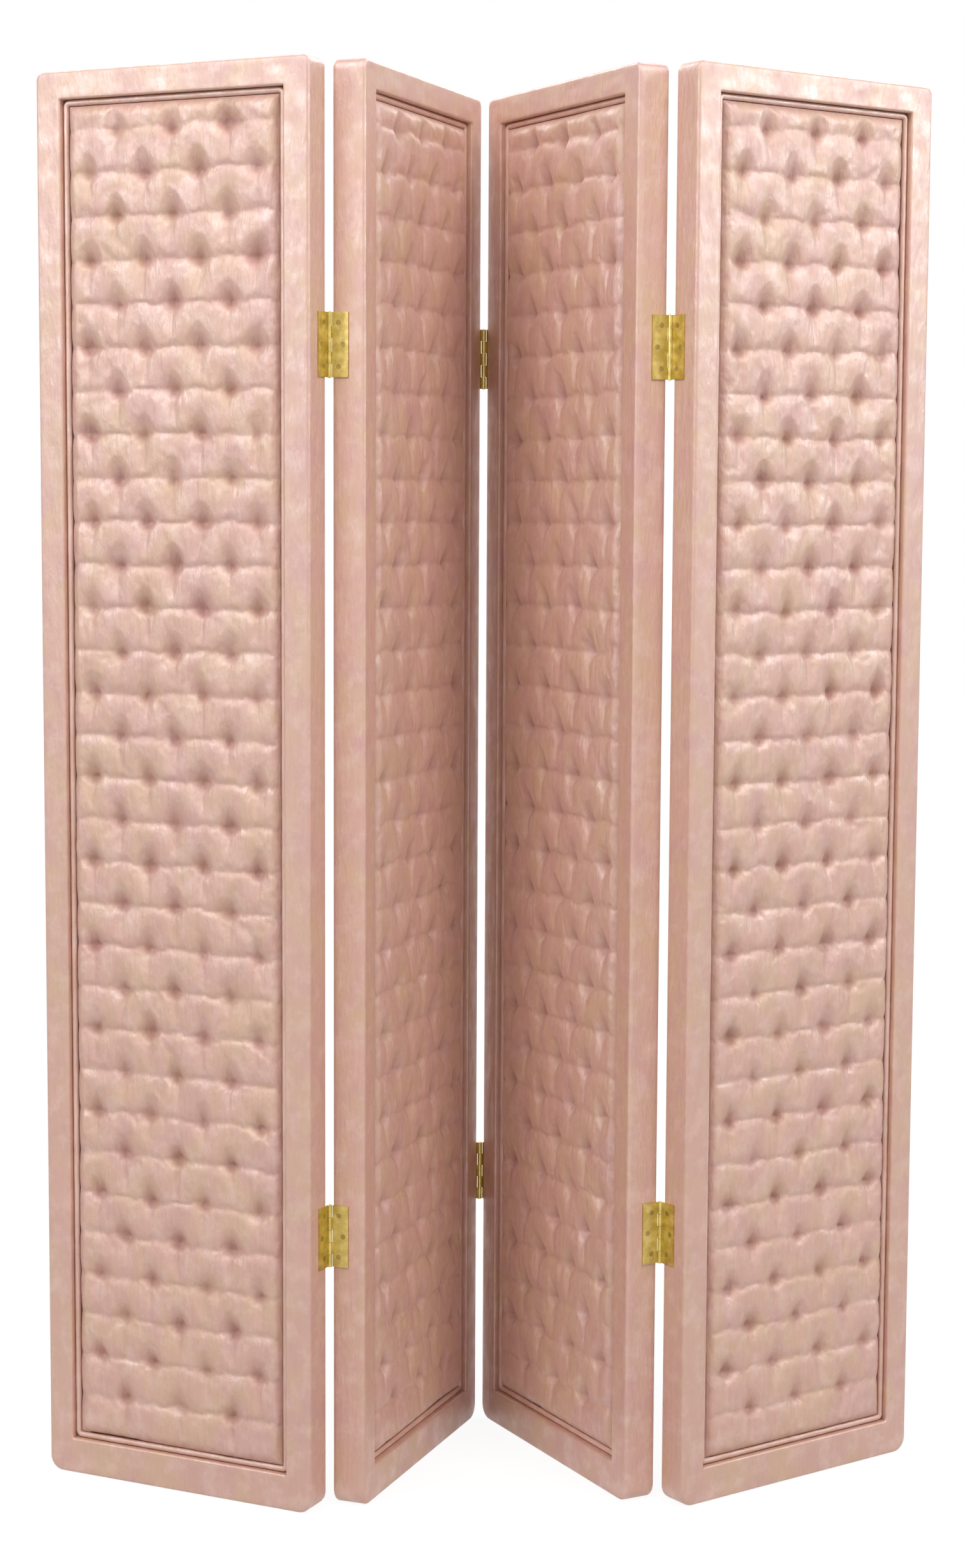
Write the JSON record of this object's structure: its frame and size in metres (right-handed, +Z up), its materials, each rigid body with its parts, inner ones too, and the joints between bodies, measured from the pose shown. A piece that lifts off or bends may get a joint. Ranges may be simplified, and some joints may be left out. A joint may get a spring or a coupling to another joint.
{
  "type": "folding screen",
  "caption": "Free-standing folding room screen with tall upholstered panels, each a padded frame round a tufted field, joined by brass butt hinges so that it folds flat.",
  "frame": {"origin": "middle of the floor area that the standing screen covers, on the floor", "axes": "+Z up along the panels' height, +X along the length of the zigzag from panel 1 to panel 4, +Y from the tufted front to the back"},
  "size_m": [1.157, 0.4012, 1.829],
  "materials": {
    "frame_fabric": "matt short pile",
    "pad_fabric": "matt short pile, tufted",
    "welt_fabric": "matt short pile",
    "back_fabric": "plain weave",
    "frame_wood": "planed softwood",
    "dowel_wood": "turned beech",
    "plywood": "sanded plywood",
    "brass": "polished",
    "bright_brass": "polished"
  },
  "bodies": {
    "panel_1": {"left_stile_1": "frame_wood", "right_stile_1": "frame_wood", "top_rail_1": "frame_wood", "bottom_rail_1": "frame_wood", "dowels_1": "dowel_wood", "backing_board_1": "plywood", "frame_cover_1": "frame_fabric", "welt_1": "welt_fabric", "tufted_pad_1": "pad_fabric", "back_pad_1": "back_fabric", "hinge_screws_1": "bright_brass", "right_upper_leaf_1": "brass", "right_lower_leaf_1": "brass", "hinge_pins_1_2": "bright_brass"},
    "panel_2": {"left_stile_2": "frame_wood", "right_stile_2": "frame_wood", "top_rail_2": "frame_wood", "bottom_rail_2": "frame_wood", "dowels_2": "dowel_wood", "backing_board_2": "plywood", "frame_cover_2": "frame_fabric", "welt_2": "welt_fabric", "tufted_pad_2": "pad_fabric", "back_pad_2": "back_fabric", "hinge_screws_2": "bright_brass", "left_upper_leaf_2": "brass", "left_lower_leaf_2": "brass", "right_upper_leaf_2": "brass", "right_lower_leaf_2": "brass", "hinge_pins_2_3": "bright_brass"},
    "panel_3": {"left_stile_3": "frame_wood", "right_stile_3": "frame_wood", "top_rail_3": "frame_wood", "bottom_rail_3": "frame_wood", "dowels_3": "dowel_wood", "backing_board_3": "plywood", "frame_cover_3": "frame_fabric", "welt_3": "welt_fabric", "tufted_pad_3": "pad_fabric", "back_pad_3": "back_fabric", "hinge_screws_3": "bright_brass", "left_upper_leaf_3": "brass", "left_lower_leaf_3": "brass", "right_upper_leaf_3": "brass", "right_lower_leaf_3": "brass", "hinge_pins_3_4": "bright_brass"},
    "panel_4": {"left_stile_4": "frame_wood", "right_stile_4": "frame_wood", "top_rail_4": "frame_wood", "bottom_rail_4": "frame_wood", "dowels_4": "dowel_wood", "backing_board_4": "plywood", "frame_cover_4": "frame_fabric", "welt_4": "welt_fabric", "tufted_pad_4": "pad_fabric", "back_pad_4": "back_fabric", "hinge_screws_4": "bright_brass", "left_upper_leaf_4": "brass", "left_lower_leaf_4": "brass"}
  },
  "joints": [
    {"name": "fold_1_2", "type": "hinge", "parent": "panel_2", "child": "panel_1", "pos_m": [-0.21005, -0.15723, 0], "axis": [0, 0, 1], "range_deg": [-85.7, 94.3]},
    {"name": "fold_2_3", "type": "hinge", "parent": "panel_2", "child": "panel_3", "pos_m": [0.00755, 0.18447, 0], "axis": [0, 0, 1], "range_deg": [-49.1, 130.9]},
    {"name": "fold_3_4", "type": "hinge", "parent": "panel_3", "child": "panel_4", "pos_m": [0.21491, -0.16353, 0], "axis": [0, 0, -1], "range_deg": [-82.3, 97.7]}
  ]
}
